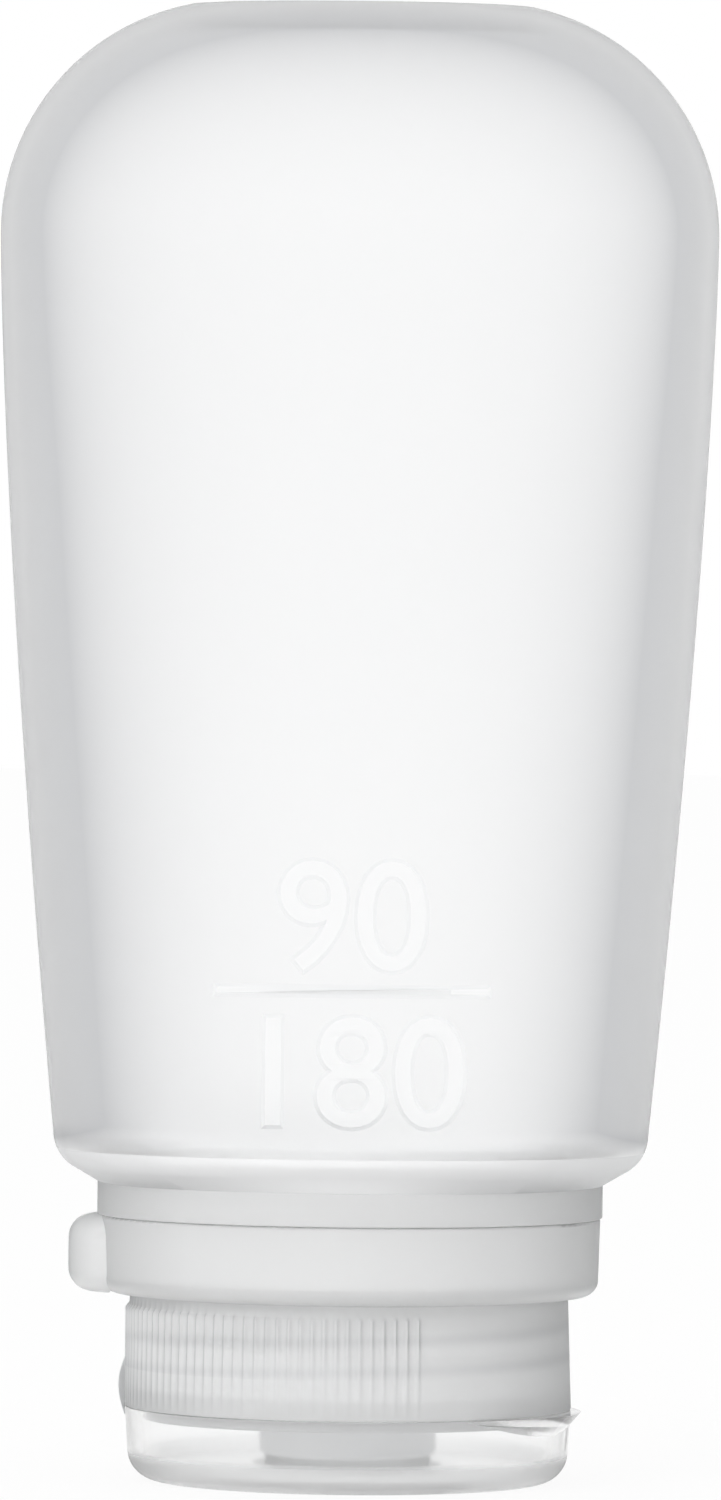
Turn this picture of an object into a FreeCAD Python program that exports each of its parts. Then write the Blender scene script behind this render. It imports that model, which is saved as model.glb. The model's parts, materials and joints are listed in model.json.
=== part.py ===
import FreeCAD
import Part
import math
import os

# Travel squeeze bottle standing on its flip lid. Millimetres and degrees, +Z up, front towards -Y.

# Flip lid
lid_height = 7.3
lid_rim_radius = 22.3
lid_draft = 0.5
lid_corner_radius = 3.0
lid_wall = 1.5
lid_floor = 1.6
seal_rib_width = 0.9
thumb_angle = -25.0
thumb_lip_reach = 1.6
thumb_lip_height = 2.4
thumb_lip_radius = 16.9

# Screw cap
skirt_height = 11.0
skirt_wall = 1.4
skirt_draft = 0.4
deck_thickness = 1.6
land_height = 1.2
rib_pitch = 3.0
rib_width = 0.55
rib_proud = 0.45
rib_count_per_side = 39
rib_plain_band = 1.1
spout_radius = 8.8
spout_wall = 2.0
spout_orifice_radius = 4.4

# Hinge strap between cap and lid
hinge_offset = 0.45
strap_width = 10.0
strap_thickness = 0.5
strap_bow = 0.45
strap_upper_reach = 5.6
strap_lower_reach = 1.8

# Slit valve and its retainer
valve_flange = 1.1
valve_skin = 0.6
valve_dome = 1.0
slit_width = 0.15
slit_length = 5.0
retainer_wall = 1.9

# Thread, neck and seal
thread_pitch = 3.0
thread_height = 1.3
thread_root = 1.6
thread_crest = 0.7
thread_start = 0.9
thread_end_gap = 1.8
thread_sink = 0.2
neck_wall = 1.8
bead_height = 0.8
washer_thickness = 1.6
washer_width = 3.0
flange_width = 2.9
flange_thickness = 1.2

# Collar with its lug, and the clamp ring above it
collar_height = 7.75
collar_draft = 0.2
collar_wall = 1.6
collar_web = 1.6
collar_overhang = 3.15
collar_edge_radius = 1.6
lug_reach = 3.05
lug_radius = 7.0
lug_blend_radius = 2.0
lug_edge_radius = 2.4
cord_hole_radius = 0.9
cord_hole_cover = 0.8
clamp_height = 3.05
clamp_proud = 0.2
clamp_edge_radius = 0.35
edge_break = 0.3

# Silicone body
sleeve_wall = 2.2
web_thickness = 2.5
body_wall = 2.8
end_wall = 3.2
shoulder_step = 0.55
shoulder_slope = 25.0
shoulder_corner_radius = 4.0
shoulder_overhang = 5.0
shoulder_depth_room = 1.65
shoulder_depth_round = 1.04
widest_half_width = 35.97
widest_height = 90.2
width_curve = 1.41
end_half_depth = 16.0
depth_curve = 1.15
end_corner_radius = 23.3
end_depth_radius = 10.5
end_flat_drop = 0.5
squareness = 2.2
section_count = 20

# Clearances
seam_gap = 0.1
land_clearance = 0.4
thread_clearance = 0.5
thread_flank_gap = 0.4
collar_clearance = 0.3
ring_gap = 0.3
bead_gap = 0.1
bead_clearance = 0.4
retainer_clearance = 0.05
lid_strap_clearance = 0.1

# Heights, each from the piece below it
seam_z = lid_height + seam_gap
land_z = seam_z - land_height
deck_z = land_z + deck_thickness
seat_z = seam_z + deck_thickness
neck_z = seat_z + washer_thickness
skirt_top_z = seam_z + skirt_height
collar_z = skirt_top_z + ring_gap
bead_z = collar_z - bead_gap
collar_top_z = collar_z + collar_height
clamp_z = collar_top_z + ring_gap
clamp_top_z = clamp_z + clamp_height
web_z = clamp_top_z + web_thickness
spout_z = lid_floor + seal_rib_width
valve_z = spout_z + deck_thickness
retainer_z = valve_z + valve_flange
thread_z = neck_z + thread_start
thread_rise = bead_z - bead_height - thread_end_gap - thread_z

# Radii, each from the piece around it
land_radius = lid_rim_radius - lid_wall - land_clearance
skirt_top_radius = lid_rim_radius - skirt_draft
skirt_bore = skirt_top_radius - skirt_wall
thread_radius = skirt_bore - thread_clearance
tube_radius = thread_radius - thread_height
neck_bore = tube_radius - neck_wall
bead_radius = skirt_bore - bead_clearance
sleeve_radius = tube_radius + sleeve_wall
flange_radius = tube_radius + flange_width
collar_bore = tube_radius + collar_clearance
collar_hub = collar_bore + collar_wall
collar_radius = skirt_top_radius + collar_overhang
clamp_radius = collar_radius + clamp_proud
seat_radius = tube_radius - washer_width
valve_seat_radius = spout_radius - spout_wall
hinge_radius = lid_rim_radius + hinge_offset
hinge_angle = thumb_angle + 180.0

# Shoulder of the body: a slope up from the clamp ring, then a round corner into the side
slope = math.radians(shoulder_slope)
shoulder_radius = clamp_radius - shoulder_step
shoulder_half_width = shoulder_radius + shoulder_overhang
shoulder_half_depth = flange_radius + body_wall + shoulder_depth_room
side_taper = widest_half_width - shoulder_half_width
depth_taper = shoulder_half_depth - end_half_depth
side_tilt = math.atan(width_curve * side_taper / widest_height)
shoulder_x = shoulder_half_width - shoulder_corner_radius * math.cos(side_tilt)
shoulder_run = shoulder_x + shoulder_corner_radius * math.sin(slope) - shoulder_radius
shoulder_z = clamp_top_z + shoulder_run * math.tan(slope) + shoulder_corner_radius * math.cos(slope)
side_z = shoulder_z - shoulder_corner_radius * math.sin(side_tilt)
widest_z = side_z + widest_height
end_z = widest_z + end_corner_radius - end_flat_drop


def vector(x, y, z):
    return FreeCAD.Vector(x, y, z)


def direction(angle):
    return vector(math.cos(math.radians(angle)), math.sin(math.radians(angle)), 0)


def mirrored(point):
    """The same point on the other side of the XZ plane."""
    return vector(point.x, -point.y, point.z)


def turned(shape, angle):
    """Turn a shape drawn towards +X so that it points along the given angle."""
    shape.rotate(vector(0, 0, 0), vector(0, 0, 1), angle)
    return shape


def outline(points):
    """Closed wire in the XZ plane. A third point value is the radius of the corner there."""
    edges = []
    ends = []
    count = len(points)
    for index in range(count):
        here = points[index]
        corner = vector(here[0], 0, here[1])
        if len(here) < 3:
            ends.append((corner, corner))
            continue
        before = points[index - 1]
        after = points[(index + 1) % count]
        back = (vector(before[0], 0, before[1]) - corner).normalize()
        ahead = (vector(after[0], 0, after[1]) - corner).normalize()
        half_angle = back.getAngle(ahead) / 2.0
        reach = here[2] / math.tan(half_angle)
        middle = (back + ahead).normalize() * (here[2] / math.sin(half_angle) - here[2])
        first = corner + back * reach
        last = corner + ahead * reach
        edges.append(Part.Arc(first, corner + middle, last).toShape())
        ends.append((first, last))
    for index in range(count):
        start = ends[index][1]
        end = ends[(index + 1) % count][0]
        edges.append(Part.makeLine(start, end))
    return Part.Wire(Part.__sortEdges__(edges))


def turned_solid(points):
    """Solid of revolution about Z from an outline of (radius, height) points."""
    return Part.Face(outline(points)).revolve(vector(0, 0, 0), vector(0, 0, 1), 360)


def cylinder(radius, low, high):
    return Part.makeCylinder(radius, high - low, vector(0, 0, low))


def oval(half_width, half_depth, height, power):
    """Closed curve between an ellipse and a rectangle, level at the given height."""
    points = []
    for step in range(32):
        angle = 2.0 * math.pi * step / 32
        across = abs(math.cos(angle) / half_width) ** power
        along = abs(math.sin(angle) / half_depth) ** power
        reach = (across + along) ** (-1.0 / power)
        points.append(vector(reach * math.cos(angle), reach * math.sin(angle), height))
    curve = Part.BSplineCurve()
    curve.interpolate(points, True)
    return Part.Wire(curve.toShape())


def thread(root_radius, crest_radius, start_z, start_angle):
    """Helical ridge from the root to the crest, sunk a little into the wall that carries it."""
    sink = thread_sink if crest_radius < root_radius else -thread_sink
    root = thread_root / 2.0
    crest = thread_crest / 2.0
    corners = [
        vector(root_radius + sink, 0, -root),
        vector(crest_radius, 0, -crest),
        vector(crest_radius, 0, crest),
        vector(root_radius + sink, 0, root),
    ]
    profile = Part.makePolygon(corners + corners[:1])
    path = Part.Wire(Part.makeHelix(thread_pitch, thread_rise, root_radius).Edges)
    ridge = path.makePipeShell([profile], True, True)
    ridge.translate(vector(0, 0, start_z))
    return turned(ridge, start_angle)


def make_lid():
    inner = lid_rim_radius - lid_wall
    base_radius = lid_rim_radius - lid_draft
    inner_base = base_radius - lid_wall
    rib_radius = (valve_seat_radius + spout_radius) / 2.0
    shell = turned_solid([
        (0, 0),
        (base_radius, 0, lid_corner_radius),
        (lid_rim_radius, lid_height),
        (inner, lid_height),
        (inner_base, lid_floor, lid_corner_radius - lid_wall),
        (rib_radius + seal_rib_width / 2.0, lid_floor),
        (rib_radius + seal_rib_width / 2.0, spout_z),
        (rib_radius - seal_rib_width / 2.0, spout_z),
        (rib_radius - seal_rib_width / 2.0, lid_floor),
        (0, lid_floor),
    ])
    lip_centre = lid_rim_radius + thumb_lip_reach - thumb_lip_radius
    lip = Part.makeCone(thumb_lip_radius - thumb_lip_reach - lid_draft, thumb_lip_radius, thumb_lip_height,
                        vector(lip_centre, 0, lid_height - thumb_lip_height))
    lip = lip.cut(cylinder(inner + lid_wall / 2.0, 0, lid_height + 1))
    return shell.fuse(turned(lip, thumb_angle)).removeSplitter()


def make_ribs():
    """Toothed band for the grip: two combs of ribs that leave the strap and the thumb side plain."""
    base = skirt_bore + skirt_wall / 2.0
    tip = skirt_top_radius + rib_proud
    half_strap = math.degrees(strap_width / 2.0 / lid_rim_radius)
    angles = []
    for index in range(rib_count_per_side):
        away = half_strap + rib_pitch * (index + 2)
        angles.append(hinge_angle + away)
        angles.append(hinge_angle + 360.0 - away)
    angles.sort()
    edges = []
    for index, angle in enumerate(angles):
        following = angles[index + 1] if index + 1 < len(angles) else angles[0] + 360.0
        side = direction(angle + 90.0) * (rib_width / 2.0)
        next_side = direction(following + 90.0) * (rib_width / 2.0)
        root = direction(angle) * base
        crest = direction(angle) * tip
        edges.extend(Part.makePolygon([root - side, crest - side, crest + side, root + side]).Edges)
        halfway = direction((angle + following) / 2.0) * base
        edges.append(Part.Arc(root + side, halfway, direction(following) * base - next_side).toShape())
    low = seam_z + rib_plain_band / 2.0
    high = skirt_top_z - rib_plain_band
    band = Part.Face(Part.Wire(edges)).extrude(vector(0, 0, high - low))
    band.translate(vector(0, 0, low))
    return band.cut(cylinder(skirt_bore + skirt_wall / 4.0, low, high))


def make_cap():
    body = turned_solid([
        (land_radius, land_z),
        (land_radius, seam_z),
        (lid_rim_radius, seam_z, edge_break),
        (skirt_top_radius, skirt_top_z, edge_break),
        (skirt_bore, skirt_top_z),
        (skirt_bore, seat_z),
        (seat_radius, seat_z),
        (seat_radius, deck_z),
        (valve_seat_radius, deck_z),
        (valve_seat_radius, valve_z),
        (spout_orifice_radius, valve_z),
        (spout_orifice_radius, spout_z),
        (spout_radius, spout_z, edge_break),
        (spout_radius, land_z),
    ])
    flank_run = (thread_root - thread_crest) * (thread_height + thread_clearance) / (2.0 * thread_height)
    above_neck_thread = thread_root - flank_run + thread_flank_gap
    start = thread_z + above_neck_thread - thread_pitch / 4.0
    ridge = thread(skirt_bore, skirt_bore - thread_height, start, -90.0)
    return body.fuse(ridge).fuse(make_ribs())


def make_strap(cap):
    """Thin band bowed out past the seam, with a foot against the skirt and another against the lid."""
    low = seam_z - strap_lower_reach
    high = seam_z + strap_upper_reach
    middle = (low + high) / 2.0
    foot = 2.0 * strap_thickness
    root = skirt_bore + skirt_wall / 3.0
    crown = hinge_radius + strap_bow
    heel = lid_rim_radius - strap_bow
    outer = Part.Arc(vector(heel, 0, low), vector(crown, 0, middle), vector(heel, 0, high))
    inner = Part.Arc(vector(heel, 0, high - foot), vector(crown - strap_thickness, 0, middle),
                     vector(heel, 0, low + foot))
    upper = Part.makePolygon([vector(heel, 0, high), vector(root, 0, high), vector(root, 0, high - foot),
                              vector(heel, 0, high - foot)])
    lower = Part.makePolygon([vector(heel, 0, low + foot), vector(root, 0, low + foot), vector(root, 0, low),
                              vector(heel, 0, low)])
    wire = Part.Wire([outer.toShape()] + upper.Edges + [inner.toShape()] + lower.Edges)
    strap = Part.Face(wire).extrude(vector(0, strap_width, 0))
    strap.translate(vector(0, -strap_width / 2.0, 0))
    strap = turned(strap, hinge_angle).cut(cap)
    return strap.cut(cylinder(lid_rim_radius + lid_strap_clearance, 0, seam_z))


def make_valve():
    dome_radius = spout_orifice_radius - retainer_clearance
    dome_z = valve_z - valve_dome
    valve = turned_solid([
        (0, dome_z),
        (dome_radius - valve_dome, dome_z),
        (dome_radius, valve_z),
        (valve_seat_radius - retainer_clearance, valve_z),
        (valve_seat_radius - retainer_clearance, retainer_z),
        (dome_radius - valve_skin, retainer_z),
        (dome_radius - valve_dome - valve_skin, dome_z + valve_skin),
        (0, dome_z + valve_skin),
    ])
    for angle in (0.0, 90.0):
        slit = Part.makeBox(slit_length, slit_width, valve_flange,
                            vector(-slit_length / 2.0, -slit_width / 2.0, dome_z - valve_skin / 2.0))
        valve = valve.cut(turned(slit, thumb_angle + angle))
    return valve


def make_retainer():
    outer = valve_seat_radius - retainer_clearance
    return turned_solid([
        (outer - retainer_wall, retainer_z, edge_break),
        (outer, retainer_z),
        (outer, deck_z, edge_break),
        (outer - retainer_wall, deck_z, edge_break),
    ])


def make_washer():
    return cylinder(tube_radius, seat_z, neck_z).cut(cylinder(tube_radius - washer_width, seat_z, neck_z))


def make_neck():
    flange_top = web_z + flange_thickness
    neck = turned_solid([
        (neck_bore, neck_z, edge_break),
        (tube_radius, neck_z, edge_break),
        (tube_radius, bead_z - bead_height),
        (bead_radius, bead_z - bead_height / 2.0),
        (bead_radius, bead_z),
        (tube_radius, bead_z),
        (tube_radius, web_z),
        (flange_radius, web_z),
        (flange_radius, flange_top, edge_break),
        (neck_bore, flange_top, edge_break),
    ])
    return neck.fuse(thread(tube_radius, thread_radius, thread_z, 0.0)).removeSplitter()


def make_lug():
    """Round lug drawn towards +X, with a hollow blend into the collar on each side and rounded rims."""
    centre = collar_radius + lug_reach - lug_radius
    ring_radius = collar_radius - collar_draft - edge_break
    around = ring_radius + lug_blend_radius
    across = lug_radius + lug_blend_radius
    blend = vector((around ** 2 - across ** 2 + centre ** 2) / (2.0 * centre), 0, collar_z)
    blend.y = math.sqrt(around ** 2 - blend.x ** 2)
    on_ring = vector(blend.x * ring_radius / around, blend.y * ring_radius / around, collar_z)
    on_lug = vector(centre + (blend.x - centre) * lug_radius / across, blend.y * lug_radius / across, collar_z)
    between = blend + ((on_ring + on_lug) * 0.5 - blend).normalize() * lug_blend_radius
    inside = collar_radius - 2.0 * lug_edge_radius
    edges = [
        Part.Arc(on_ring, between, on_lug).toShape(),
        Part.Arc(on_lug, vector(collar_radius + lug_reach, 0, collar_z), mirrored(on_lug)).toShape(),
        Part.Arc(mirrored(on_lug), mirrored(between), mirrored(on_ring)).toShape(),
    ]
    behind = vector(inside, on_ring.y, collar_z)
    back = Part.makePolygon([mirrored(on_ring), mirrored(behind), behind, on_ring])
    lug = Part.Face(Part.Wire(edges + back.Edges)).extrude(vector(0, 0, collar_height))
    rims = [edge for edge in lug.Edges if isinstance(edge.Curve, Part.Circle)]
    lug = lug.makeFillet(lug_edge_radius, rims)
    hole = cylinder(cord_hole_radius, collar_z, collar_top_z)
    hole.translate(vector(collar_radius + lug_reach - cord_hole_cover - cord_hole_radius, 0, 0))
    return lug.cut(cylinder(collar_radius - collar_wall / 2.0, collar_z, collar_top_z)).cut(hole)


def make_collar():
    top_inner = collar_radius - collar_wall
    ring = turned_solid([
        (collar_bore, collar_z, edge_break),
        (collar_radius - collar_draft, collar_z, collar_edge_radius),
        (collar_radius, collar_top_z, edge_break),
        (top_inner, collar_top_z),
        (top_inner, collar_z + collar_web, edge_break),
        (collar_hub, collar_z + collar_web, edge_break),
        (collar_hub, collar_top_z),
        (collar_bore, collar_top_z),
    ])
    return ring.fuse(turned(make_lug(), 180.0)).removeSplitter()


def make_clamp():
    return turned_solid([
        (sleeve_radius, clamp_z),
        (clamp_radius, clamp_z, clamp_edge_radius),
        (clamp_radius, clamp_top_z, clamp_edge_radius),
        (sleeve_radius, clamp_top_z),
    ])


def body_sections(inset, top_z):
    """Half-width, half-depth and height of the ovals from the shoulder corner to the closed end."""
    corner = shoulder_corner_radius - inset
    first_angle = math.pi / 2.0 - slope
    end_corner = end_corner_radius - inset
    last_angle = math.asin((top_z - widest_z) / end_corner)
    corner_length = corner * (first_angle - side_tilt)
    side_end = corner_length + widest_height
    total = side_end + end_corner * last_angle
    sections = []
    for step in range(section_count + 1):
        along = total * (1.0 - math.cos(math.pi * step / section_count)) / 2.0
        if along < corner_length:
            angle = first_angle - along / corner
            half_width = shoulder_x + corner * math.cos(angle)
            half_depth = shoulder_half_depth - inset - shoulder_depth_round * (1.0 - math.cos(angle))
            height = shoulder_z - corner * math.sin(angle)
        elif along < side_end:
            fall = (side_end - along) / widest_height
            half_width = widest_half_width - inset - side_taper * fall ** width_curve
            half_depth = end_half_depth - inset + depth_taper * fall ** depth_curve
            height = widest_z - widest_height * fall
        else:
            angle = (along - side_end) / end_corner
            half_width = widest_half_width - inset - end_corner * (1.0 - math.cos(angle))
            half_depth = end_half_depth - inset - (end_depth_radius - inset) * (1.0 - math.cos(angle))
            height = widest_z + end_corner * math.sin(angle)
        sections.append((half_width, half_depth, height))
    return sections


def skin(sections):
    return Part.makeLoft([oval(*section, squareness) for section in sections], True, False)


def make_body():
    outer = body_sections(0.0, end_z)
    shoulder = Part.makeLoft([oval(shoulder_radius, shoulder_radius, clamp_top_z, 2.0),
                              oval(*outer[0], squareness)], True, True)
    sleeve = cylinder(sleeve_radius, clamp_z, clamp_top_z)
    shell = skin(outer).fuse([shoulder, sleeve])
    inner = body_sections(body_wall, end_z - end_wall)
    half_width, half_depth, height = inner[0]
    drop = height - web_z
    floor = oval(half_width - drop / math.tan(slope), half_depth - drop / 2.0, web_z, squareness)
    hollow = Part.makeLoft([floor, oval(half_width, half_depth, height, squareness)], True, True)
    mouth = cylinder(tube_radius, clamp_z, web_z)
    return shell.cut(skin(inner)).cut(hollow).cut(mouth).removeSplitter()


os.makedirs("parts", exist_ok=True)
screw_cap = make_cap()
pieces = {
    "flip_lid": make_lid(),
    "screw_cap": screw_cap,
    "hinge_strap": make_strap(screw_cap),
    "slit_valve": make_valve(),
    "valve_retainer": make_retainer(),
    "seal_washer": make_washer(),
    "neck_insert": make_neck(),
    "loop_collar": make_collar(),
    "clamp_ring": make_clamp(),
    "silicone_body": make_body(),
}
for name, shape in pieces.items():
    shape.exportStep("parts/" + name + ".step")
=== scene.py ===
import bmesh
import bpy
import json
import math
from mathutils import Euler, Matrix, Vector


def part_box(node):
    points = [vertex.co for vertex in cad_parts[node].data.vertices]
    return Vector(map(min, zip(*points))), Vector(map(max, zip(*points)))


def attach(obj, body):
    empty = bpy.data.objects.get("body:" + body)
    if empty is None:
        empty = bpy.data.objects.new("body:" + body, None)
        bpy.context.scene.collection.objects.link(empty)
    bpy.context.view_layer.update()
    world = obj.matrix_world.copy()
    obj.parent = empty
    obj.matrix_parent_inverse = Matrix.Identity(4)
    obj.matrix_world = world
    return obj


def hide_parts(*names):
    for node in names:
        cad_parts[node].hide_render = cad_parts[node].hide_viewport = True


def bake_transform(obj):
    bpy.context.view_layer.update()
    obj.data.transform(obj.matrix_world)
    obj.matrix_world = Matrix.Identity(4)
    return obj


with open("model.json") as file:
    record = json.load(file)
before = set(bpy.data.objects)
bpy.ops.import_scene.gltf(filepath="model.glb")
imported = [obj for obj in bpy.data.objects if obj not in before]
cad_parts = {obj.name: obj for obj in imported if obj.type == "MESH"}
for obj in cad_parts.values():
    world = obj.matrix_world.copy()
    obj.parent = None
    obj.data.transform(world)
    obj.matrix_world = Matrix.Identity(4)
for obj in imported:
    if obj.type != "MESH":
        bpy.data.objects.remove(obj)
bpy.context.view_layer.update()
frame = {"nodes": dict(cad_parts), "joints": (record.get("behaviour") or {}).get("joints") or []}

# Places that come from the frame, in metres
lid_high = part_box("flip_lid")[1]
cap_low, cap_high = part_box("screw_cap")
clamp_low, clamp_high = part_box("clamp_ring")
body_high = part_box("silicone_body")[1]
washer_low, washer_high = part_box("seal_washer")
valve_low, valve_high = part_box("slit_valve")
lid_hinge = next(joint for joint in frame["joints"] if joint["name"] == "lid_flip")
hinge_point = Vector(lid_hinge["pos_m"])
hinge_turn = math.atan2(hinge_point.y, hinge_point.x)
hinge_radius = math.hypot(hinge_point.x, hinge_point.y)

# Values that several pieces share. The ring and the skirt reach into the gaps beside the collar by gap_fill.
tolerance = 1e-6
seat_room = 0.00005
gap_fill = 0.00026
crease_angle = math.radians(30.0)
corner_steps = 4

# Screw cap
seam_gap = 0.0001
skirt_draft = 0.0004
skirt_wall = 0.0014
deck_thickness = 0.0016
land_drop = 0.0012
land_inset = 0.0019
washer_width = 0.003
spout_radius = 0.0088
spout_wall = 0.002
spout_orifice_radius = 0.0044
cap_edge_radius = 0.0003
cap_crease_angle = math.radians(40.0)
cap_steps = 960
rim_radius = lid_high.y
seam_z = lid_high.z + seam_gap
skirt_top_z = cap_high.z + gap_fill
skirt_top_radius = rim_radius - skirt_draft
skirt_bore = skirt_top_radius - skirt_wall
land_z = seam_z - land_drop
land_radius = rim_radius - land_inset
seat_z = washer_low.z
seat_radius = washer_high.x - washer_width
spout_z = cap_low.z
valve_seat_radius = spout_radius - spout_wall
valve_seat_z = spout_z + deck_thickness

# Ribs on the cap's skirt
rib_pitch = math.radians(3.0)
rib_share = 0.72
rib_count_per_side = 39
rib_relief = 0.00045
rib_low_margin = 0.0005
rib_high_margin = 0.0010
rib_end = 0.0005
rib_levels = 4
rib_start_pitches = 2.0
rib_tip_radius = skirt_top_radius + rib_relief
rib_low_z = seam_z + rib_low_margin
rib_high_z = skirt_top_z - rib_high_margin

# Thread in the cap's bore
thread_pitch = 0.003
thread_turns = 1.5
thread_lead = 0.001527
thread_height = 0.0013
thread_root = 0.0016
thread_crest = 0.0007
thread_sink = 0.0002
thread_steps_per_turn = 96
thread_low_z = washer_high.z + thread_lead
thread_rise = thread_pitch * thread_turns

# Seal washer and slit valve
washer_edge = 0.0004
washer_steps = 96
valve_flange = 0.0011
valve_wall = 0.0006
valve_dome_radius = 0.00435
valve_edge = 0.0002
valve_tip_round = 0.0008
valve_root_round = 0.0003
valve_inner_round = 0.0006
valve_steps = 64
slit_length = 0.005
slit_width = 0.00015
slit_depth = 0.0022

# Clamp ring
clamp_edge_radius = 0.00015
clamp_edge_steps = 6
clamp_steps = 256

# Hinge strap
strap_width = 0.010
strap_bow = 0.00045
strap_foot = 0.0009
strap_rise = 0.0056
strap_drop = 0.0018
strap_room = 0.00003
strap_edge = 0.00012
strap_corner_angle = math.radians(60.0)
strap_steps = 9
strap_bow_steps = 18
strap_edge_segments = 2
strap_high_z = seam_z + strap_rise
strap_low_z = seam_z - strap_drop

# Silicone body
sleeve_wall = 0.0022
web_height = 0.0025
solid_rise = 0.0008
body_wall = 0.0028
end_wall = 0.0032
shoulder_inset = 0.00055
shoulder_overhang = 0.005
shoulder_foot_inset = 0.0001
shoulder_sink = 0.0001
shoulder_slope = math.radians(25.0)
shoulder_corner_radius = 0.004
shoulder_half_depth = 0.02605
shoulder_depth_round = 0.00104
widest_height = 0.0902
width_curve = 1.41
end_half_depth = 0.016
depth_curve = 1.15
end_corner_radius = 0.0233
end_depth_radius = 0.0105
end_flat_drop = 0.0005
end_flat_shares = (0.97, 0.8, 0.5, 0.2, 0.05)
squareness = 2.2
roundness = 2.0
ceiling_normal_z = -0.5
body_crease_angle = math.radians(35.0)
body_steps = 160
shoulder_steps = 10
side_steps = 48
end_steps = 24
clamp_top_z = clamp_high.z
sleeve_z = clamp_low.z
end_z = body_high.z
widest_half_width = body_high.x
tube_radius = washer_high.x
sleeve_radius = tube_radius + sleeve_wall
web_z = clamp_top_z + web_height
solid_top_z = web_z + solid_rise
shoulder_half_width = clamp_high.x - shoulder_inset + shoulder_overhang
shoulder_foot_radius = clamp_high.x - shoulder_foot_inset
widest_z = end_z + end_flat_drop - end_corner_radius
side_taper = widest_half_width - shoulder_half_width
depth_taper = shoulder_half_depth - end_half_depth

# Numbers sunk in the front of the body. A digit is as tall as digit_share of its font's size.
number_depth = 0.0004
number_draft = 0.00035
number_room = 0.0003
number_height = 0.0110
number_middle_z = 0.0495
number_row_gap = 0.0021
number_block_side = 0.1
digit_share = 0.72
digit_steps = 6
bar_length = 0.0265
bar_height = 0.0006
bar_steps = 24

# Photograph's view
image_height_pixels = 1500.0
metres_per_pixel = 0.0001
camera_distance = 0.93
camera_height = 0.073
camera_aside = 0.00058
camera_roll = math.radians(0.6)
camera_reach = 100.0
sensor_side = 36.0

# Studio
soft_light = 0.9
soft_light_colour = (0.996, 0.998, 1.0)
key_place = Vector((-0.9, -1.3, 0.9))
key_aim = Vector((0.0, 0.0, 0.07))
key_size = 1.0
key_power = 9.0
floor_size = 30.0
floor_colour = (0.9, 0.9, 0.9)
floor_roughness = 0.9
floor_glow = 0.92

# Finishes. A grain is the scale of the grain, the scale of its cloud, and its bump's strength and distance.
# Frosted finishes bend light little, so that it crosses them and isn't trapped inside.
white = (1.0, 1.0, 1.0)
frosted_bend = 1.2
silicone_bend = 1.41
plastic_bend = 1.49
partly_clear = 0.3
half_clear = 0.45
fully_clear = 1.0
frosted_roughness = (0.62, 0.70)
solid_roughness = (0.52, 0.60)
satin_roughness = (0.38, 0.48)
soft_roughness = (0.34, 0.42)
polished_roughness = (0.30, 0.36)
clear_roughness_ends = (0.08, 0.12)
silicone_grain = (2600.0, 70.0, 0.12, 0.00004)
plastic_grain = (2200.0, 90.0, 0.10, 0.00003)
soft_grain = (1800.0, 120.0, 0.08, 0.00003)
polished_grain = (900.0, 70.0, 0.03, 0.00002)
clear_grain = (700.0, 60.0, 0.02, 0.00002)
bright_colours = ((0.990, 0.993, 0.995), (0.998, 0.999, 1.0))

# Body's painted slant shade: its share just above the solid foot, and the height from which all of it shows
low_slant_shade = (0.04, (0.68, 0.68, 0.68))
full_slant_shade_z = 0.100

# Height of a normal that counts as looking down, and as looking sideways
looks_down = -0.75
looks_sideways = -0.1

# Satin foot of the clear lid
clear_ring_low = 0.0095
clear_ring_high = 0.0208
clear_floor_z = 0.0009
foot_low_z = 0.0020
foot_high_z = 0.0034
foot_roughness = 0.42
foot_colour = (0.90, 0.905, 0.905)

# Painted shade of the thread seen through the skirt
thread_shade = (0.92, 0.921, 0.925)
thread_blur = 0.00096


# Mesh helpers

def rounded(points, steps=corner_steps):
    """Outline through the points. A third value on a point is the radius of its corner."""
    line = []
    count = len(points)
    for index, point in enumerate(points):
        corner = Vector(point[:2])
        if len(point) < 3:
            line.append(corner)
            continue
        radius = point[2]
        back = (Vector(points[index - 1][:2]) - corner).normalized()
        ahead = (Vector(points[(index + 1) % count][:2]) - corner).normalized()
        half = back.angle(ahead) / 2.0
        middle = corner + (back + ahead).normalized() * (radius / math.sin(half))
        start = corner + back * (radius / math.tan(half)) - middle
        end = corner + ahead * (radius / math.tan(half)) - middle
        for step in range(steps + 1):
            line.append(middle + start.lerp(end, step / steps).normalized() * radius)
    return line


def spun(outline, steps):
    """Solid of revolution about Z from a closed outline of (radius, height) points."""
    made = bmesh.new()
    verts = [made.verts.new((radius, 0.0, height)) for radius, height in outline]
    edges = [made.edges.new(pair) for pair in zip(verts, verts[1:] + verts[:1])]
    bmesh.ops.spin(made, geom=verts + edges, cent=(0, 0, 0), axis=(0, 0, 1), dvec=(0, 0, 0), angle=math.tau,
                   steps=steps, use_merge=True, use_normal_flip=False, use_duplicate=False)
    bmesh.ops.remove_doubles(made, verts=made.verts, dist=tolerance)
    bmesh.ops.recalc_face_normals(made, faces=made.faces)
    return made


def grown_ring(made, edges):
    """Extrude a loop of edges and return the new loop's vertices and edges."""
    grown = bmesh.ops.extrude_edge_only(made, edges=edges)["geom"]
    ring = [part for part in grown if isinstance(part, bmesh.types.BMVert)]
    held = set(ring)
    loop = [part for part in grown if isinstance(part, bmesh.types.BMEdge)
            and part.verts[0] in held and part.verts[1] in held]
    return ring, loop


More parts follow.
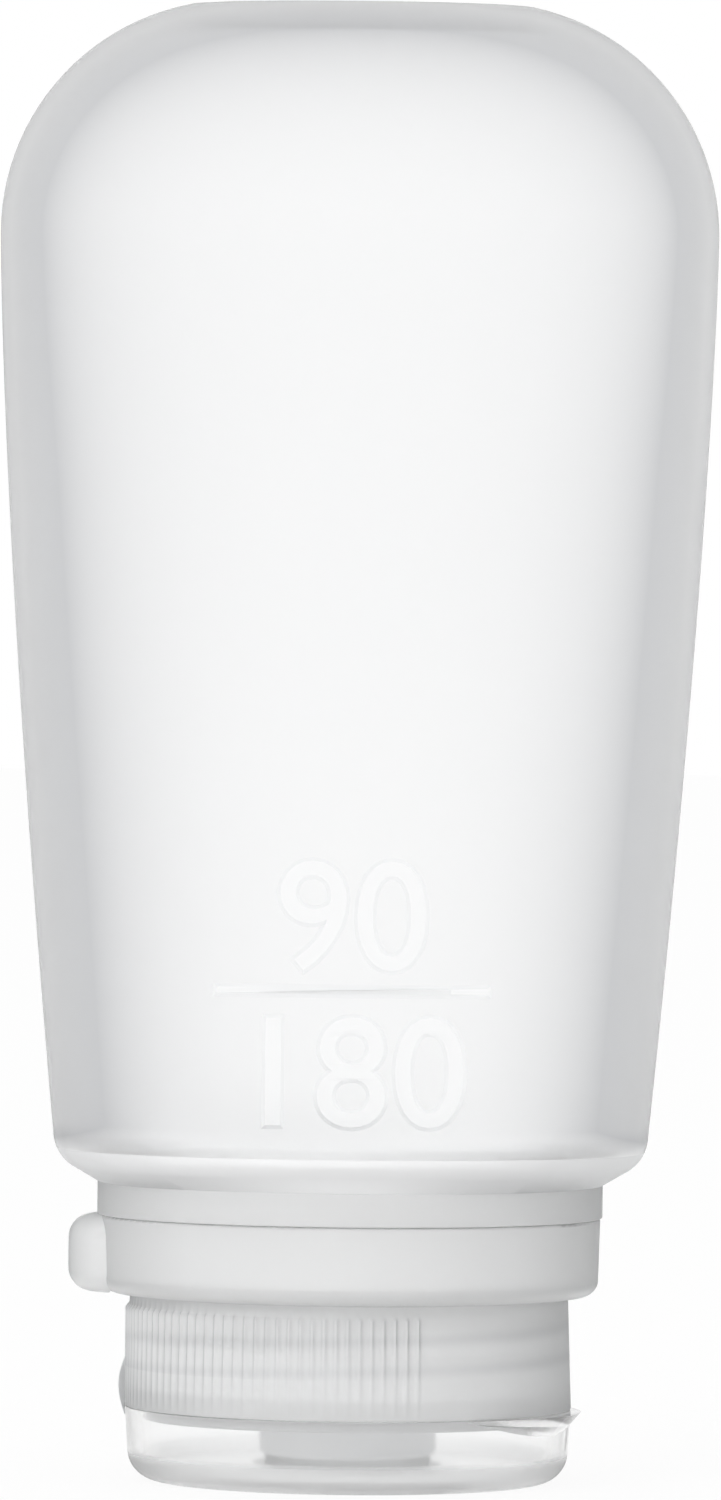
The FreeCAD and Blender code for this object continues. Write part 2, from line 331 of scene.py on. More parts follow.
def ringed(outline, steps):
    """Turned shape like spun, grown ring by ring, which is quicker where there are many steps."""
    made = bmesh.new()
    ring = bmesh.ops.create_circle(made, cap_ends=False, segments=steps, radius=1.0)["verts"]
    first = list(made.edges)
    edges = first
    for index, (radius, height) in enumerate(outline):
        if index:
            ring, edges = grown_ring(made, edges)
        for vert in ring:
            reach = math.hypot(vert.co.x, vert.co.y)
            vert.co = (vert.co.x * radius / reach, vert.co.y * radius / reach, height)
    bmesh.ops.bridge_loops(made, edges=first + edges)
    bmesh.ops.recalc_face_normals(made, faces=made.faces)
    return made


def mesh_object(name, made, materials, crease=crease_angle):
    """Object at the origin from a bmesh, smooth except where its faces meet at more than the crease."""
    mesh = bpy.data.meshes.new(name)
    made.to_mesh(mesh)
    made.free()
    mesh.shade_smooth()
    mesh.set_sharp_from_angle(angle=crease)
    for material in materials:
        mesh.materials.append(material)
    piece = bpy.data.objects.new(name, mesh)
    bpy.context.scene.collection.objects.link(piece)
    return piece


def cut_away(piece, cutter, operation="DIFFERENCE", mend=False):
    """Boolean of a piece with a cutter, which is used up. Cut faces keep the cutter's material."""
    boolean = piece.modifiers.new("cut", "BOOLEAN")
    boolean.operation = operation
    boolean.solver = "EXACT"
    boolean.use_self = mend
    boolean.material_mode = "TRANSFER"
    boolean.object = cutter
    bpy.context.view_layer.update()
    evaluated = piece.evaluated_get(bpy.context.evaluated_depsgraph_get())
    mesh = bpy.data.meshes.new_from_object(evaluated)
    piece.modifiers.clear()
    old = piece.data
    piece.data = mesh
    bpy.data.meshes.remove(old)
    bpy.data.objects.remove(cutter)


# Shader helpers

def node(tree, kind, **values):
    """New node with its properties set."""
    made = tree.nodes.new(kind)
    for name, value in values.items():
        setattr(made, name, value)
    return made


def feed(tree, entry, value):
    """Link a node's output to an input, or set the input to a number or a colour."""
    if isinstance(value, bpy.types.NodeSocket):
        tree.links.new(value, entry)
    elif isinstance(value, tuple):
        entry.default_value = (*value, 1.0)
    else:
        entry.default_value = value


def reckoned(tree, operation, *values):
    """Output of a Math node on outputs and numbers."""
    made = node(tree, "ShaderNodeMath", operation=operation)
    for entry, value in zip(made.inputs, values):
        feed(tree, entry, value)
    return made.outputs["Value"]


def ranged(tree, value, interpolation="LINEAR", **limits):
    """Output of a Map Range node. The limits are named from_min, from_max, to_min and to_max."""
    made = node(tree, "ShaderNodeMapRange", interpolation_type=interpolation)
    feed(tree, made.inputs["Value"], value)
    for name, limit in limits.items():
        made.inputs[name.replace("_", " ").title()].default_value = limit
    return made.outputs["Result"]


def mixed(tree, factor, first, second, kind="RGBA", blend="MIX"):
    """Output of a Mix node that runs from the first colour or number to the second."""
    made = node(tree, "ShaderNodeMix", data_type=kind, blend_type=blend)
    feed(tree, made.inputs["Factor"], factor)
    feed(tree, made.inputs["A"], first)
    feed(tree, made.inputs["B"], second)
    return made.outputs["Result"]


def ramped(tree, value, start, middle, end):
    """Output of a colour ramp through three stops of (position, colour), the first at 0."""
    made = node(tree, "ShaderNodeValToRGB")
    stops = made.color_ramp.elements
    stops[0].color = (*start[1], 1.0)
    stops[1].position = end[0]
    stops[1].color = (*end[1], 1.0)
    stops.new(middle[0]).color = (*middle[1], 1.0)
    feed(tree, made.inputs["Fac"], value)
    return made.outputs["Color"]


def object_place(tree):
    """Object coordinates, and the same split into X, Y and Z."""
    place = node(tree, "ShaderNodeTexCoord").outputs["Object"]
    axes = node(tree, "ShaderNodeSeparateXYZ")
    feed(tree, axes.inputs["Vector"], place)
    return place, axes.outputs


# Parts of the finishes

def grain_group():
    """Fine moulded grain: a height for bump, and a slow value that clouds colour and roughness."""
    group = bpy.data.node_groups.new("moulded_grain", "ShaderNodeTree")
    sockets = {"Grain Scale": "INPUT", "Cloud Scale": "INPUT", "Height": "OUTPUT", "Cloud": "OUTPUT"}
    for name, way in sockets.items():
        group.interface.new_socket(name, in_out=way, socket_type="NodeSocketFloat")
    entry = node(group, "NodeGroupInput")
    leave = node(group, "NodeGroupOutput")
    place = node(group, "ShaderNodeTexCoord").outputs["Object"]
    for scale, detail, result in (("Grain Scale", 3.0, "Height"), ("Cloud Scale", 2.0, "Cloud")):
        noise = node(group, "ShaderNodeTexNoise")
        feed(group, noise.inputs["Vector"], place)
        feed(group, noise.inputs["Scale"], entry.outputs[scale])
        feed(group, noise.inputs["Detail"], detail)
        feed(group, leave.inputs[result], noise.outputs["Fac"])
    return group


def moulded(name, colours, roughness, grain, bend, transmission=0.0):
    """Moulded finish. Colours and roughness are the two ends that the slow cloud runs between."""
    grain_scale, cloud_scale, bump_strength, bump_distance = grain
    material = bpy.data.materials.new(name)
    material.use_nodes = True
    tree = material.node_tree
    shader = tree.nodes["Principled BSDF"]
    shader.inputs["IOR"].default_value = bend
    shader.inputs["Transmission Weight"].default_value = transmission
    pattern = node(tree, "ShaderNodeGroup", node_tree=moulded_grain)
    pattern.inputs["Grain Scale"].default_value = grain_scale
    pattern.inputs["Cloud Scale"].default_value = cloud_scale
    cloud = pattern.outputs["Cloud"]
    bump = node(tree, "ShaderNodeBump")
    bump.inputs["Strength"].default_value = bump_strength
    bump.inputs["Distance"].default_value = bump_distance
    feed(tree, bump.inputs["Height"], pattern.outputs["Height"])
    feed(tree, shader.inputs["Base Color"], mixed(tree, cloud, *colours))
    feed(tree, shader.inputs["Roughness"], ranged(tree, cloud, to_min=roughness[0], to_max=roughness[1]))
    feed(tree, shader.inputs["Normal"], bump.outputs["Normal"])
    return material


def finish_parts(material):
    """Node tree of a finish, with the inputs of its shader for colour and roughness."""
    tree = material.node_tree
    inputs = tree.nodes["Principled BSDF"].inputs
    return tree, inputs["Base Color"], inputs["Roughness"]


def shade_by_height(tree, slant):
    """Share of the painted slant shade up the body's wall: none at the solid foot, most of it just above,
    and all of it higher up.
    """
    axes = object_place(tree)[1]
    rise = ranged(tree, axes["Z"], from_min=solid_top_z, from_max=full_slant_shade_z)
    share = ramped(tree, rise, (0.0, (0.0, 0.0, 0.0)), low_slant_shade, (1.0, white))
    return reckoned(tree, "MULTIPLY", share, slant)


def pale_undersides(tree, geometry, outside):
    """Outside faces without those that look down, which the pale floor lights from below."""
    axes = node(tree, "ShaderNodeSeparateXYZ")
    feed(tree, axes.inputs["Vector"], geometry.outputs["Normal"])
    sideways = ranged(tree, axes.outputs["Z"], "SMOOTHSTEP", from_min=looks_down, from_max=looks_sideways)
    return reckoned(tree, "MULTIPLY", sideways, outside)


def paint_slant_shade(material, middle, rim, by_height=False, pale_under=False):
    """Painted shade: darken a frosted wall where it is seen at a slant. This is partly the longer way light
    takes through the wall there, and partly painted shade for the darker sides.
    """
    tree, colour, _ = finish_parts(material)
    plain = colour.links[0].from_socket
    slant = node(tree, "ShaderNodeLayerWeight").outputs["Facing"]
    if by_height:
        slant = shade_by_height(tree, slant)
    geometry = node(tree, "ShaderNodeNewGeometry")
    outside = reckoned(tree, "SUBTRACT", 1.0, geometry.outputs["Backfacing"])
    if pale_under:
        outside = pale_undersides(tree, geometry, outside)
    depth = ramped(tree, slant, (0.0, white), middle, rim)
    feed(tree, colour, mixed(tree, outside, plain, depth, blend="MULTIPLY"))


def frost_foot(material):
    """Satin on the lid's foot and under the spout. The wall and the floor round the spout stay clear."""
    tree, colour, roughness = finish_parts(material)
    clear_colour = colour.links[0].from_socket
    clear_roughness = roughness.links[0].from_socket
    place, axes = object_place(tree)
    flat = node(tree, "ShaderNodeVectorMath", operation="MULTIPLY")
    flat.inputs[1].default_value = (1.0, 1.0, 0.0)
    reach = node(tree, "ShaderNodeVectorMath", operation="LENGTH")
    feed(tree, flat.inputs[0], place)
    feed(tree, reach.inputs["Vector"], flat.outputs["Vector"])
    ring_middle = (clear_ring_low + clear_ring_high) / 2.0
    ring_half = (clear_ring_high - clear_ring_low) / 2.0
    ring = reckoned(tree, "COMPARE", reach.outputs["Value"], ring_middle, ring_half)
    above = reckoned(tree, "GREATER_THAN", axes["Z"], clear_floor_z)
    wall = ranged(tree, axes["Z"], "SMOOTHSTEP", from_min=foot_low_z, from_max=foot_high_z)
    clear = reckoned(tree, "MAXIMUM", reckoned(tree, "MINIMUM", ring, above), wall)
    feed(tree, roughness, mixed(tree, clear, foot_roughness, clear_roughness, kind="FLOAT"))
    feed(tree, colour, mixed(tree, clear, foot_colour, clear_colour))


def paint_thread_shade(material):
    """Painted shade along the thread on the cap's bore, where it shows through the frosted wall."""
    tree, colour, _ = finish_parts(material)
    plain = colour.links[0].from_socket
    axes = object_place(tree)[1]
    turn = reckoned(tree, "ARCTAN2", axes["Y"], axes["X"])
    level = reckoned(tree, "MULTIPLY_ADD", turn, -thread_pitch / math.tau, axes["Z"])
    above = reckoned(tree, "SUBTRACT", level, thread_low_z + thread_pitch / 4.0)
    away = reckoned(tree, "PINGPONG", above, thread_pitch / 2.0)
    ridge = ranged(tree, away, "SMOOTHSTEP", from_min=0.0, from_max=thread_blur, to_min=1.0, to_max=0.0)
    half_rise = thread_rise / 2.0
    within = reckoned(tree, "COMPARE", axes["Z"], thread_low_z + half_rise, half_rise + thread_root / 2.0)
    amount = reckoned(tree, "MULTIPLY", ridge, within)
    feed(tree, colour, mixed(tree, amount, plain, thread_shade, blend="MULTIPLY"))


# Finishes

def hard_frosted(name):
    """Frosted finish of the ring, the collar, the cap and the retainer."""
    colours = ((0.980, 0.982, 0.982), (0.990, 0.992, 0.992))
    material = moulded(name, colours, frosted_roughness, plastic_grain, frosted_bend, half_clear)
    # Painted shade on the slanted sides of the ring, the collar, the cap and the retainer, left off their
    # undersides as painted light from the pale floor
    paint_slant_shade(material, (0.25, (0.93, 0.932, 0.933)), (0.80, (0.645, 0.65, 0.652)), pale_under=True)
    return material


moulded_grain = grain_group()

frosted_silicone = moulded(
    "frosted_silicone", ((0.951, 0.952, 0.953), (0.967, 0.968, 0.968)),
    frosted_roughness, silicone_grain, frosted_bend, fully_clear)
# Painted shade at the body's sides, deepest a little way in from the edge and lighter at the edge itself
paint_slant_shade(frosted_silicone, (0.25, (0.445, 0.452, 0.468)), (0.55, (0.585, 0.588, 0.594)), by_height=True)

inner_silicone = moulded(
    "inner_silicone", bright_colours, frosted_roughness, silicone_grain, frosted_bend, fully_clear)

solid_silicone = moulded(
    "solid_silicone", ((0.925, 0.926, 0.927), (0.940, 0.941, 0.942)),
    solid_roughness, silicone_grain, frosted_bend, partly_clear)
# Painted shade at the slanted sides of the solid foot
paint_slant_shade(solid_silicone, (0.45, (0.88, 0.882, 0.885)), (0.85, (0.78, 0.782, 0.785)))

polished_silicone = moulded(
    "polished_silicone", bright_colours, polished_roughness, polished_grain, frosted_bend, fully_clear)
# Painted shade at the slanted sides of the numbers
paint_slant_shade(polished_silicone, (0.25, (0.90, 0.905, 0.91)), (0.80, (0.86, 0.865, 0.87)))

white_silicone = moulded(
    "white_silicone", ((0.90, 0.905, 0.91), (0.94, 0.945, 0.95)),
    soft_roughness, soft_grain, silicone_bend, partly_clear)

frosted_plastic = hard_frosted("frosted_plastic")

skirt_plastic = hard_frosted("skirt_plastic")
# Painted shade of the thread inside, seen through the skirt
paint_thread_shade(skirt_plastic)

neck_plastic = moulded(
    "neck_plastic", ((0.965, 0.968, 0.970), (0.980, 0.983, 0.985)),
    satin_roughness, plastic_grain, plastic_bend)

spout_plastic = moulded(
    "spout_plastic", ((0.92, 0.925, 0.93), (0.94, 0.945, 0.95)),
    satin_roughness, plastic_grain, plastic_bend)

strap_plastic = moulded(
    "strap_plastic", ((0.94, 0.945, 0.95), (0.96, 0.965, 0.97)),
    polished_roughness, polished_grain, frosted_bend, fully_clear)
# Painted shade at the slanted sides of the strap
paint_slant_shade(strap_plastic, (0.40, (0.80, 0.81, 0.82)), (0.80, (0.55, 0.56, 0.57)))

clear_plastic = moulded(
    "clear_plastic", ((0.984, 0.985, 0.985), (0.995, 0.996, 0.996)),
    clear_roughness_ends, clear_grain, plastic_bend, fully_clear)
frost_foot(clear_plastic)


# Silicone body

def oval_point(turn, half_width, half_depth, height, power):
    """Point on a closed curve between an ellipse and a rectangle."""
    across = math.copysign(abs(math.cos(turn)) ** (2.0 / power), math.cos(turn))
    along = math.copysign(abs(math.sin(turn)) ** (2.0 / power), math.sin(turn))
    return Vector((half_width * across, half_depth * along, height))


def lofted(sections):
    """Skin through ovals of (half-width, half-depth, height, power), closed by a face at each end."""
    made = bmesh.new()
    turn = made.verts.layers.float.new("turn")
    ring = bmesh.ops.create_circle(made, cap_ends=True, segments=body_steps, radius=1.0)["verts"]
    for vert in ring:
        vert[turn] = math.atan2(vert.co.y, vert.co.x)
    edges = list(made.edges)
    for index, section in enumerate(sections):
        if index:
            ring, edges = grown_ring(made, edges)
        for vert in ring:
            vert.co = oval_point(vert[turn], *section)
    bmesh.ops.contextual_create(made, geom=edges)
    bmesh.ops.recalc_face_normals(made, faces=made.faces)
    return made


def side_oval(height, inset=0.0):
    """Half-width and half-depth of the body's side at a height, on a skin set in by inset."""
    fall = (widest_z - height) / widest_height
    half_width = widest_half_width - inset - side_taper * fall ** width_curve
    half_depth = end_half_depth - inset + depth_taper * fall ** depth_curve
    return half_width, half_depth


def corner_sections(inset):
    """Ovals round the corner between the shoulder's slope and the side."""
    corner = shoulder_corner_radius - inset
    tilt = math.atan(width_curve * side_taper / widest_height)
    corner_x = shoulder_half_width - shoulder_corner_radius * math.cos(tilt)
    corner_z = widest_z - widest_height + shoulder_corner_radius * math.sin(tilt)
    start = math.pi / 2.0 - shoulder_slope
    sections = []
    for step in range(shoulder_steps):
        angle = start - (start - tilt) * step / shoulder_steps
        half_width = corner_x + corner * math.cos(angle)
        half_depth = shoulder_half_depth - inset - shoulder_depth_round * (1.0 - math.cos(angle))
        sections.append((half_width, half_depth, corner_z - corner * math.sin(angle), squareness))
    return sections


def end_sections(inset, top_z):
    """Ovals that round over from the widest part to the flat of the closed end."""
    corner = end_corner_radius - inset
    last = math.asin((top_z - widest_z) / corner)
    sections = []
    for step in range(end_steps + 1):
        angle = last * step / end_steps
        half_width = widest_half_width - inset - corner * (1.0 - math.cos(angle))
        half_depth = end_half_depth - inset - (end_depth_radius - inset) * (1.0 - math.cos(angle))
        sections.append((half_width, half_depth, widest_z + corner * math.sin(angle), squareness))
    return sections


def wall_sections(inset, top_z):
    """Ovals from the shoulder corner up the side and round to the closed end, on a skin set in by inset."""
    sections = corner_sections(inset)
    for step in range(side_steps):
        height = widest_z - widest_height * (1.0 - step / side_steps)
        sections.append((*side_oval(height, inset), height, squareness))
    return sections + end_sections(inset, top_z)


def flat_end(section):
    """Ovals that shrink across the flat of the closed end."""
    half_width, half_depth, height, power = section
    return [(half_width * share, half_depth * share, height, power) for share in end_flat_shares]


def body_shell():
    """Hollow body: in at the closed end, down the inside, out through the mouth and up the outside."""
    inside = wall_sections(body_wall, end_z - end_wall)
    half_width, half_depth, foot_z, _ = inside[0]
    drop = foot_z - web_z
    floor = (half_width - drop / math.tan(shoulder_slope), half_depth - drop / 2.0, web_z, squareness)
    outside = wall_sections(0.0, end_z)
    sections = list(reversed(flat_end(inside[-1]))) + list(reversed(inside)) + [floor]
    bore = tube_radius + seat_room
    sleeve = sleeve_radius - seat_room
    underside = clamp_top_z - shoulder_sink
    mouth = [(bore, web_z - seat_room), (bore, sleeve_z), (sleeve, sleeve_z), (sleeve, underside),
             (shoulder_foot_radius, underside)]
    sections += [(radius, radius, height, roundness) for radius, height in mouth]
    return lofted(sections + outside + flat_end(outside[-1]))


def front_depth(across, height):
    """How far the body's skin lies in front of its axis."""
    half_width, half_depth = side_oval(height)
    return half_depth * (1.0 - abs(across / half_width) ** squareness) ** (1.0 / squareness)


def wrapped(made, curve, low_z):
    """Add a flat curve as a solid with sloped sides, wrapped round the front and sunk by number_depth."""
    curve.extrude = number_room
    curve.bevel_depth = number_draft
    curve.bevel_resolution = 0
    shape = bpy.data.objects.new("shape", curve)
    bpy.context.scene.collection.objects.link(shape)
    bpy.context.view_layer.update()
    mesh = bpy.data.meshes.new_from_object(shape.evaluated_get(bpy.context.evaluated_depsgraph_get()))
    bpy.data.objects.remove(shape)
    half = number_room + number_draft
    for vert in mesh.vertices:
        across, up, out = vert.co
        height = low_z + up
        vert.co = (across, number_depth - half - out - front_depth(across, height), height)
    made.from_mesh(mesh)
    bpy.data.meshes.remove(mesh)


def digit_curve(text):
    """Flat outlines of a row of digits, centred."""
    curve = bpy.data.curves.new("digits", "FONT")
    curve.body = text
    curve.align_x = "CENTER"
    curve.size = number_height / digit_share
    curve.resolution_u = digit_steps
    return curve


def bar_curve():
    """Flat bar with points along its length, so that it can follow the round of the body."""
    curve = bpy.data.curves.new("bar", "CURVE")
    curve.dimensions = "2D"
    curve.fill_mode = "BOTH"
    places = [(step / bar_steps - 0.5) * bar_length for step in range(bar_steps + 1)]
    corners = [(across, -bar_height / 2.0) for across in places]
    corners += [(across, bar_height / 2.0) for across in reversed(places)]
    line = curve.splines.new("POLY")
    line.points.add(len(corners) - 1)
    for point, corner in zip(line.points, corners):
        point.co = (*corner, 0.0, 1.0)
    line.use_cyclic_u = True
    return curve


def sunk_numbers():
    """Two rows of plain numbers with a bar between them, as one cutter for the front of the body.

    Strokes with sloped sides overlap themselves, so a cut with a block round them all mends them first.
    """
    made = bmesh.new()
    wrapped(made, digit_curve("90"), number_middle_z + number_row_gap)
    wrapped(made, digit_curve("180"), number_middle_z - number_row_gap - number_height)
    wrapped(made, bar_curve(), number_middle_z)
    bmesh.ops.remove_doubles(made, verts=made.verts, dist=tolerance)
    bmesh.ops.recalc_face_normals(made, faces=made.faces)
    numbers = mesh_object("numbers", made, [polished_silicone])
    block = bmesh.new()
    middle = Matrix.Translation((0.0, 0.0, number_middle_z))
    bmesh.ops.create_cube(block, size=number_block_side, matrix=middle)
    cut_away(numbers, mesh_object("block", block, [polished_silicone]), "INTERSECT", mend=True)
    return numbers


def line_inside(body):
    """Give the faces of the cavity the plain inner finish, and the foot of the body the solid one."""
    for face in body.data.polygons:
        outwards = face.normal.x * face.center.x + face.normal.y * face.center.y
        inside_top = face.normal.z < ceiling_normal_z and face.center.z > end_z - 2.0 * end_wall
        if inside_top or (outwards < 0.0 and face.center.z > web_z):
            face.material_index = 1
        elif face.center.z < solid_top_z:
            face.material_index = 2


def make_body():
    """Soft body with the numbers sunk in its front."""
    body = mesh_object("soft_body", body_shell(), [frosted_silicone, inner_silicone, solid_silicone])
    line_inside(body)
    cut_away(body, sunk_numbers())
    body.data.set_sharp_from_angle(angle=body_crease_angle)
    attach(body, "bottle")
    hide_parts("silicone_body")


# Small soft pieces

def make_washer():
    """Seal between the neck's mouth and the cap's deck."""
    outline = rounded([
        (seat_radius, washer_low.z, washer_edge), (washer_high.x, washer_low.z, washer_edge),
        (washer_high.x, washer_high.z, washer_edge), (seat_radius, washer_high.z, washer_edge)])
    washer = mesh_object("seal_ring", spun(outline, washer_steps), [white_silicone])
    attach(washer, "seal")
    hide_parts("seal_washer")


def make_valve():
    """Flanged dome with a cross slit."""
    dome = valve_high.z - valve_flange - valve_low.z
    tip_radius = valve_dome_radius - dome
    dome_z = valve_low.z + dome
    inner_z = valve_low.z + valve_wall
    outline = rounded([
        (0.0, valve_low.z), (tip_radius, valve_low.z, valve_tip_round),
        (valve_dome_radius, dome_z, valve_root_round), (valve_high.x, dome_z, valve_edge),
        (valve_high.x, valve_high.z, valve_edge), (valve_dome_radius - valve_wall, valve_high.z, valve_edge),
        (tip_radius - valve_wall, inner_z, valve_inner_round), (0.0, inner_z)])
    valve = mesh_object("valve_skin", spun(outline, valve_steps), [white_silicone])
    for turn in (0.0, math.pi / 2.0):
        made = bmesh.new()
        place = (Matrix.Translation((0.0, 0.0, valve_low.z)) @ Matrix.Rotation(hinge_turn + turn, 4, "Z")
                 @ Matrix.Diagonal((slit_length, slit_width, slit_depth, 1.0)))
        bmesh.ops.create_cube(made, size=1.0, matrix=place)
        cut_away(valve, mesh_object("slit", made, [white_silicone]))
    valve.data.set_sharp_from_angle(angle=crease_angle)
    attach(valve, "cap")
    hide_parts("slit_valve")


# Clamp ring, screw cap and hinge strap

def make_clamp_ring():
    """Hard ring between the shoulder and the collar."""
    inner = sleeve_radius + seat_room
    low_z = clamp_low.z - gap_fill
    outline = rounded([
        (inner, low_z, clamp_edge_radius), (clamp_high.x, low_z, clamp_edge_radius),
        (clamp_high.x, clamp_high.z, clamp_edge_radius), (inner, clamp_high.z, clamp_edge_radius)],
        clamp_edge_steps)
    ring = mesh_object("shoulder_ring", ringed(outline, clamp_steps), [frosted_plastic])
    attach(ring, "bottle")
    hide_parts("clamp_ring")


def rib_height(turn):
    """Share of a rib's full height at an angle from the hinge: two combs that leave both ends plain."""
    away = abs(math.remainder(turn - hinge_turn, math.tau))
    first = strap_width / 2.0 / rim_radius + rib_start_pitches * rib_pitch
    place = (away - first) / rib_pitch
    nearest = round(place)
    if nearest < 0 or nearest >= rib_count_per_side:
        return 0.0
    return math.cos(min(abs(place - nearest) / rib_share, 0.5) * math.pi) ** 2


def cap_outline():
    """Outline of the cap: spout, deck, skirt and bore, with extra points up the ribbed face."""
    levels = [rib_low_z + (rib_high_z - rib_low_z) * step / rib_levels for step in range(rib_levels)]
    levels += [rib_high_z - rib_end, rib_high_z - rib_end / 2.0, rib_high_z]
    face = []
    for height in levels:
        share = (height - seam_z) / (skirt_top_z - seam_z)
        face.append((rim_radius + (skirt_top_radius - rim_radius) * share, height))
    edge = cap_edge_radius
    deck_z = land_z + deck_thickness
    return rounded([
        (land_radius, land_z, edge), (land_radius, seam_z), (rim_radius, seam_z, edge / 3.0), *face,
        (skirt_top_radius, skirt_top_z, edge / 2.0), (skirt_bore, skirt_top_z, edge),
        (skirt_bore, seat_z, edge), (seat_radius, seat_z), (seat_radius, deck_z),
        (valve_seat_radius, deck_z, edge), (valve_seat_radius, valve_seat_z),
        (spout_orifice_radius, valve_seat_z, edge), (spout_orifice_radius, spout_z, edge),
        (spout_radius, spout_z, 2.0 * edge), (spout_radius, land_z, edge)])


def raise_ribs(made):
    """Pull the ribs out of the skirt's outer face."""
    for vert in made.verts:
        radius = math.hypot(vert.co.x, vert.co.y)
        height = vert.co.z
        inside = radius < skirt_bore + skirt_wall / 2.0
        if inside or height < rib_low_z - tolerance or height > rib_high_z + tolerance:
            continue
        ends = min(1.0, (rib_high_z - height) / rib_end, (height - rib_low_z) / rib_end)
        share = rib_height(math.atan2(vert.co.y, vert.co.x)) * max(ends, 0.0)
        vert.co.xy *= (radius + (rib_tip_radius - radius) * share) / radius


def add_thread(made):
    """Add the ridge that climbs the bore of the cap, closed at both ends and rooted in the wall."""
    ridge = bmesh.new()
    root = skirt_bore + thread_sink
    crest = skirt_bore - thread_height
    corners = [(root, -thread_root / 2.0), (crest, -thread_crest / 2.0),
               (crest, thread_crest / 2.0), (root, thread_root / 2.0)]
    verts = [ridge.verts.new((0.0, -radius, thread_low_z + height)) for radius, height in corners]
    profile = ridge.faces.new(verts)
    steps = round(thread_steps_per_turn * thread_turns)
    bmesh.ops.spin(ridge, geom=[profile, *profile.edges, *verts], cent=(0, 0, 0), axis=(0, 0, 1),
                   dvec=(0, 0, thread_rise / steps), angle=math.tau * thread_turns, steps=steps,
                   use_merge=False, use_normal_flip=False, use_duplicate=False)
    bmesh.ops.recalc_face_normals(ridge, faces=ridge.faces)
    mesh = bpy.data.meshes.new("thread")
    ridge.to_mesh(mesh)
    ridge.free()
    made.from_mesh(mesh)
    bpy.data.meshes.remove(mesh)


def make_cap():
    """Ribbed cap with its spout and thread. What lies below the seam has the spout's finish."""
    made = ringed(cap_outline(), cap_steps)
    raise_ribs(made)
    add_thread(made)
    cap = mesh_object("ribbed_cap", made, [skirt_plastic, spout_plastic], cap_crease_angle)
    for face in cap.data.polygons:
        face.material_index = int(face.center.z < seam_z - tolerance)
    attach(cap, "cap")
    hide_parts("screw_cap")


def bowed(start, end, bow):
    """Points from start to end that swell outwards by bow halfway."""
    points = []
    for step in range(strap_bow_steps + 1):
        share = step / strap_bow_steps
        radius = start[0] + (end[0] - start[0]) * share + bow * math.sin(math.pi * share)
        points.append((radius, start[1] + (end[1] - start[1]) * share))
    return points


def make_strap():
    """Bowed strap between the cap and the lid, filled to the wall behind it."""
    made = bmesh.new()
    low_radius = rim_radius + strap_room
    high_radius = skirt_top_radius
    swell = hinge_radius + strap_bow - (high_radius + low_radius) / 2.0
    outline = bowed((low_radius, strap_low_z), (high_radius, strap_high_z), swell)
    outline += bowed((high_radius, strap_high_z - strap_foot), (low_radius, strap_low_z + strap_foot), 0.0)
    verts = [made.verts.new((radius, -strap_width / 2.0, height)) for radius, height in outline]
    grown = bmesh.ops.extrude_face_region(made, geom=[made.faces.new(verts)])["geom"]
    far = [part for part in grown if isinstance(part, bmesh.types.BMVert)]
    bmesh.ops.translate(made, verts=far, vec=(0.0, strap_width, 0.0))
    long_edges = [edge for edge in made.edges if edge.calc_length() > strap_width / 2.0]
    bmesh.ops.subdivide_edges(made, edges=long_edges, cuts=strap_steps)
    for vert in made.verts:
        if vert.co.x < low_radius + tolerance:
            vert.co.x = math.sqrt(vert.co.x ** 2 - vert.co.y ** 2)
    bmesh.ops.recalc_face_normals(made, faces=made.faces)
    corners = [edge for edge in made.edges if edge.calc_face_angle(0.0) > strap_corner_angle]
    bmesh.ops.bevel(made, geom=corners, offset=strap_edge, affect="EDGES", segments=strap_edge_segments,
                    profile=0.5, material=-1)
    bmesh.ops.rotate(made, verts=made.verts, cent=(0, 0, 0), matrix=Matrix.Rotation(hinge_turn, 3, "Z"))
    strap = mesh_object("hinge_band", made, [strap_plastic])
    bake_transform(strap)
    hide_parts("hinge_strap")


def finish_cad_nodes():
    """Finishes of the pieces that are shown as the frame has them."""
    finishes = {
        "loop_collar": frosted_plastic, "neck_insert": neck_plastic, "valve_retainer": frosted_plastic,
        "flip_lid": clear_plastic}
    for name, material in finishes.items():
        piece = frame["nodes"][name]
        piece.data.materials.clear()
        piece.data.materials.append(material)


# Floor, light and camera

def shown_rays(tree):
    """1 for rays that show the background: straight from the camera, mirrored, or through clear plastic."""
    path = node(tree, "ShaderNodeLightPath").outputs
    mirrored = reckoned(tree, "MAXIMUM", path["Is Camera Ray"], path["Is Glossy Ray"])
    return reckoned(tree, "MAXIMUM", mirrored, path["Is Transmission Ray"])


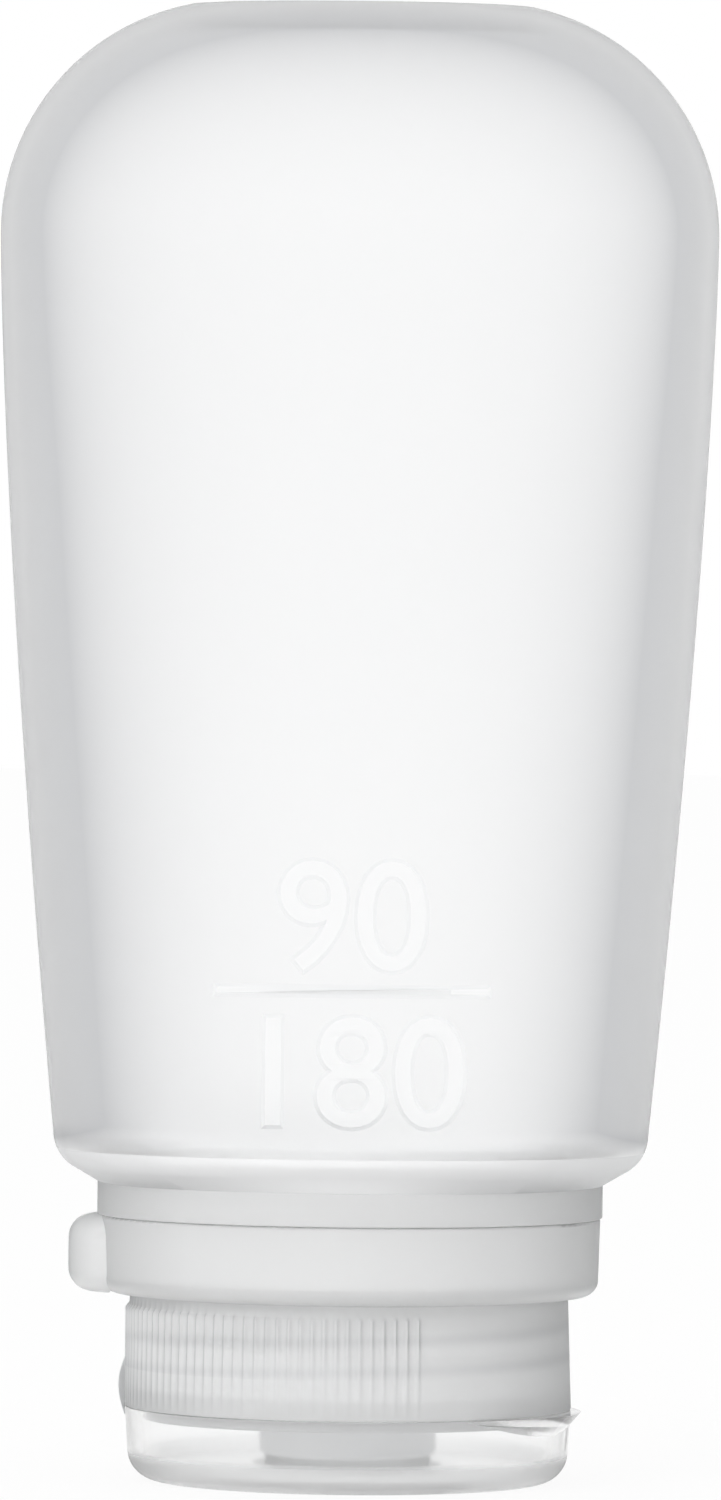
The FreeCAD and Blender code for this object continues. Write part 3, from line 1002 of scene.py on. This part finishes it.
def make_floor():
    """Pale floor that keeps the shadow of the bottle under the white that the rays show."""
    made = bmesh.new()
    bmesh.ops.create_grid(made, x_segments=1, y_segments=1, size=floor_size)
    material = bpy.data.materials.new("pale_floor")
    material.use_nodes = True
    tree = material.node_tree
    shader = tree.nodes["Principled BSDF"]
    feed(tree, shader.inputs["Base Color"], floor_colour)
    shader.inputs["Roughness"].default_value = floor_roughness
    shader.inputs["Specular IOR Level"].default_value = 0.0
    glow = node(tree, "ShaderNodeEmission")
    mix = node(tree, "ShaderNodeMixShader")
    feed(tree, mix.inputs["Fac"], reckoned(tree, "MULTIPLY", shown_rays(tree), floor_glow))
    feed(tree, mix.inputs[1], shader.outputs["BSDF"])
    feed(tree, mix.inputs[2], glow.outputs["Emission"])
    feed(tree, tree.nodes["Material Output"].inputs["Surface"], mix.outputs["Shader"])
    floor = mesh_object("floor", made, [material])


def make_world():
    """Soft even light, with a white background for the rays that show it."""
    world = bpy.data.worlds.new("studio")
    bpy.context.scene.world = world
    world.use_nodes = True
    tree = world.node_tree
    soft = tree.nodes["Background"]
    feed(tree, soft.inputs["Color"], soft_light_colour)
    soft.inputs["Strength"].default_value = soft_light
    plain = node(tree, "ShaderNodeBackground")
    feed(tree, plain.inputs["Color"], white)
    mix = node(tree, "ShaderNodeMixShader")
    feed(tree, mix.inputs["Fac"], shown_rays(tree))
    feed(tree, mix.inputs[1], soft.outputs["Background"])
    feed(tree, mix.inputs[2], plain.outputs["Background"])
    feed(tree, tree.nodes["World Output"].inputs["Surface"], mix.outputs["Shader"])


def make_key_light():
    """Large round softbox at the upper left in front."""
    lamp = bpy.data.lights.new("key_light", "AREA")
    lamp.shape = "DISK"
    lamp.size = key_size
    lamp.energy = key_power
    holder = bpy.data.objects.new("key_light", lamp)
    bpy.context.scene.collection.objects.link(holder)
    holder.location = key_place
    holder.rotation_euler = (key_aim - key_place).to_track_quat("-Z", "Y").to_euler()


def make_camera():
    """Level camera in front, turned a little about its own axis."""
    camera = bpy.data.cameras.new("view")
    camera.sensor_width = sensor_side
    camera.lens = sensor_side * camera_distance / (image_height_pixels * metres_per_pixel)
    camera.clip_end = camera_reach
    holder = bpy.data.objects.new("view", camera)
    bpy.context.scene.collection.objects.link(holder)
    holder.location = (camera_aside, -camera_distance, camera_height)
    holder.rotation_euler = Euler((math.pi / 2.0, -camera_roll, 0.0))
    bpy.context.scene.camera = holder


make_body()
make_washer()
make_valve()
make_clamp_ring()
make_cap()
make_strap()
finish_cad_nodes()
make_floor()
make_world()
make_key_light()
make_camera()
bpy.context.scene.view_settings.view_transform = "Standard"
